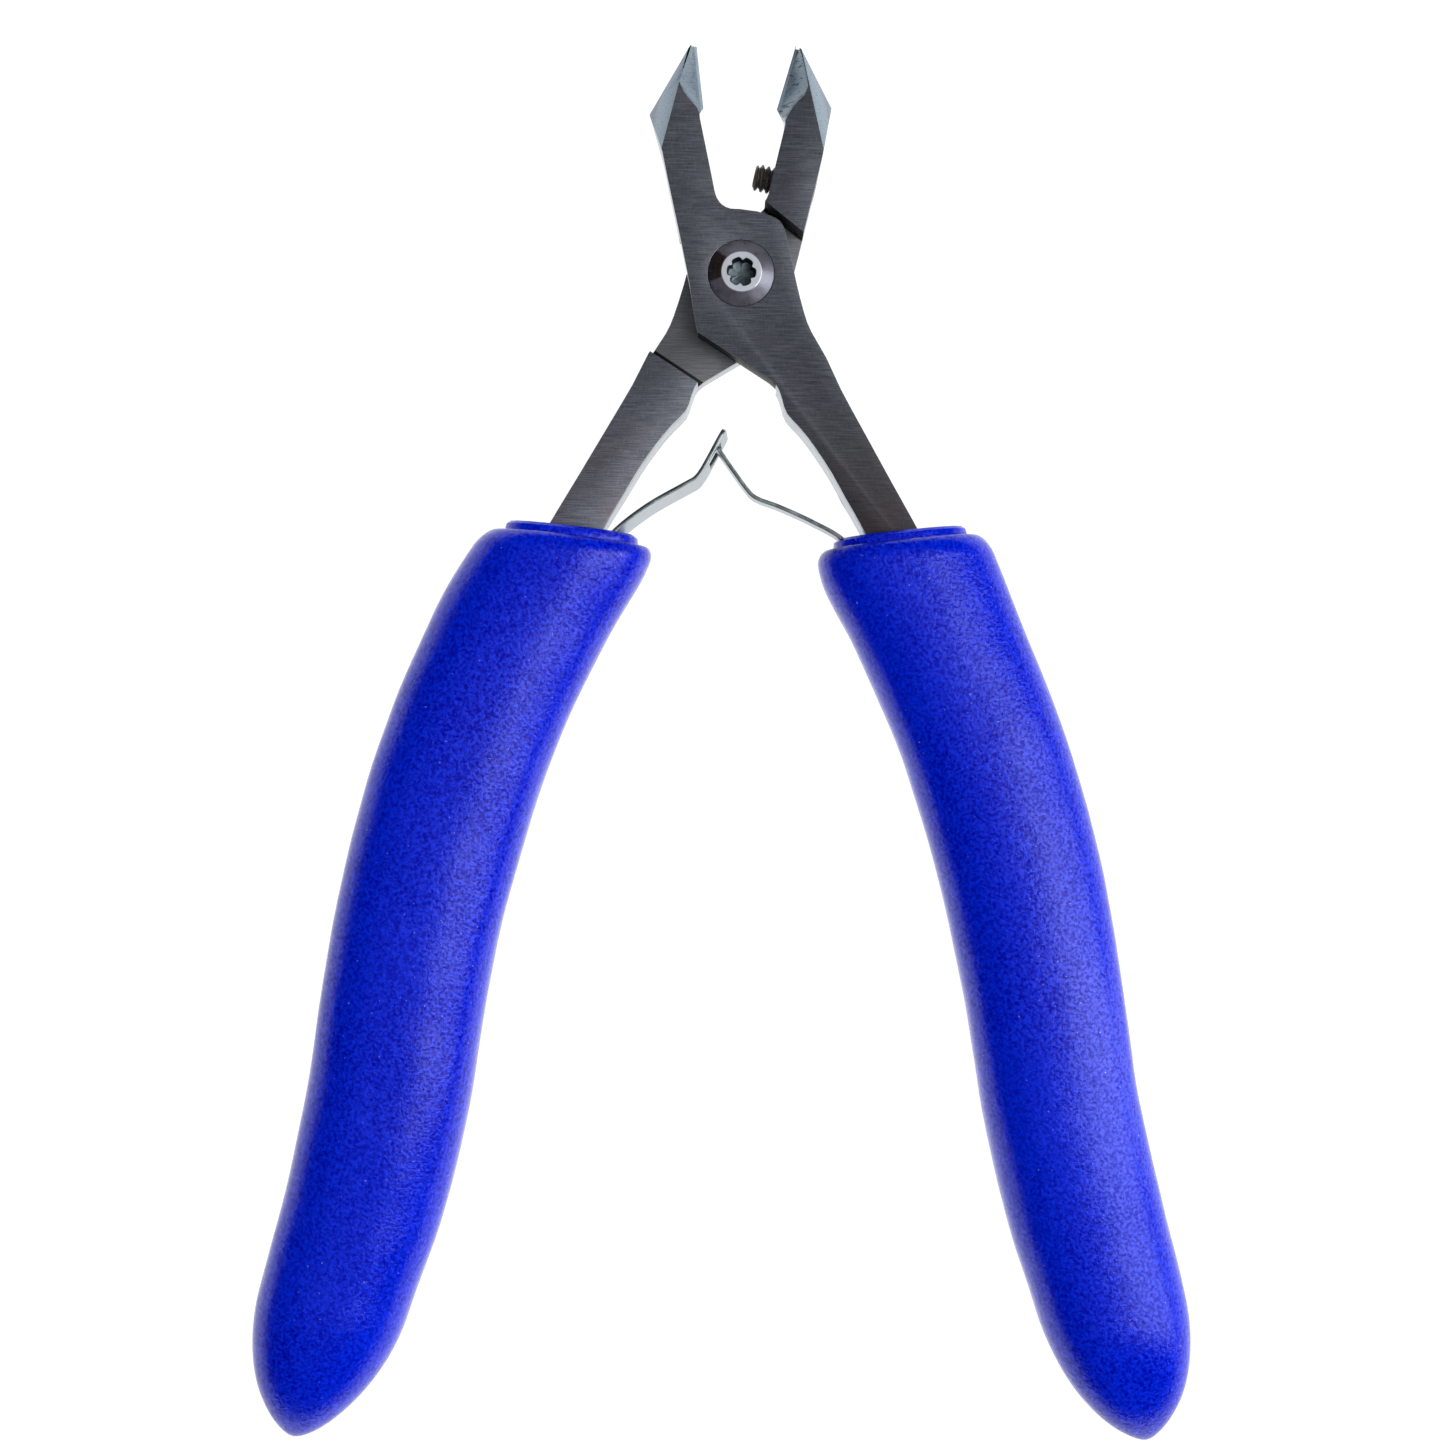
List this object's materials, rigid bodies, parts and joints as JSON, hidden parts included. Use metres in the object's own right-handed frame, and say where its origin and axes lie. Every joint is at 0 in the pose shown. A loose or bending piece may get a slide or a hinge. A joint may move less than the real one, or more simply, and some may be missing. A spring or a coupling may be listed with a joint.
{
  "type": "flush cutter",
  "caption": "Hand cutter with lapped black steel halves on a screw pivot, hollow-ground nose jaws, a jaw stop screw, hooked leaf springs and curved blue cushion grips, standing open.",
  "frame": {"origin": "on the pivot axis, at the flat end of the pivot post at the back of the joint", "axes": "+Y to the jaw tips along the middle of the open tool, +X to the right seen from the screw side, +Z out of the screw side along the pivot axis"},
  "size_m": [0.098, 0.1465, 0.0138],
  "materials": {
    "black_steel": "black oxide, satin, fine ground grain",
    "screw_steel": "blued steel with a violet tint",
    "black_screw": "black oxide, matt",
    "spring_steel": "bright spring steel",
    "grip_sleeve": "blue foam sleeve, matt",
    "grip_cushion": "blue cushion foam, satin skin with a fine pebbled grain"
  },
  "bodies": {
    "rear_half": {"rear_half": "black_steel", "pivot_screw": "screw_steel", "pivot_post": "black_steel", "pivot_washer": "spring_steel", "left_grip_core": "grip_sleeve", "left_grip_cushion": "grip_cushion", "left_spring_rivet_upper": "spring_steel", "left_spring_rivet_lower": "spring_steel"},
    "front_half": {"front_half": "black_steel", "right_grip_core": "grip_sleeve", "right_grip_cushion": "grip_cushion", "right_spring_rivet_upper": "spring_steel", "right_spring_rivet_lower": "spring_steel"},
    "stop_screw": {"stop_screw": "black_screw"},
    "left_spring": {"left_spring": "spring_steel"},
    "right_spring": {"right_spring": "spring_steel"}
  },
  "joints": [
    {"name": "jaw_pivot", "type": "hinge", "parent": "rear_half", "child": "front_half", "pos_m": [0, 0, 0.005], "axis": [0, 0, -1], "range_deg": [-3, 23.8], "stiffness_Nm_per_rad": 0.6},
    {"name": "stop_screw_adjust", "type": "slide", "parent": "rear_half", "child": "stop_screw", "axis": [0.9772, -0.2122, 0], "range_m": [0, 0.001]},
    {"name": "left_spring_flex", "type": "hinge", "parent": "rear_half", "child": "left_spring", "pos_m": [-0.01287, -0.02739, 0.0033], "axis": [0, 0, 1], "range_deg": [-1.9, 14.8], "deforming": ["left_spring"]},
    {"name": "right_spring_flex", "type": "hinge", "parent": "front_half", "child": "right_spring", "pos_m": [0.01116, -0.02725, 0.0033], "axis": [0, 0, -1], "range_deg": [-2.2, 17], "deforming": ["right_spring"]}
  ],
  "couplings": [
    {"joint": "left_spring_flex", "follows": "jaw_pivot", "ratio": 0.62},
    {"joint": "right_spring_flex", "follows": "jaw_pivot", "ratio": 0.71}
  ]
}
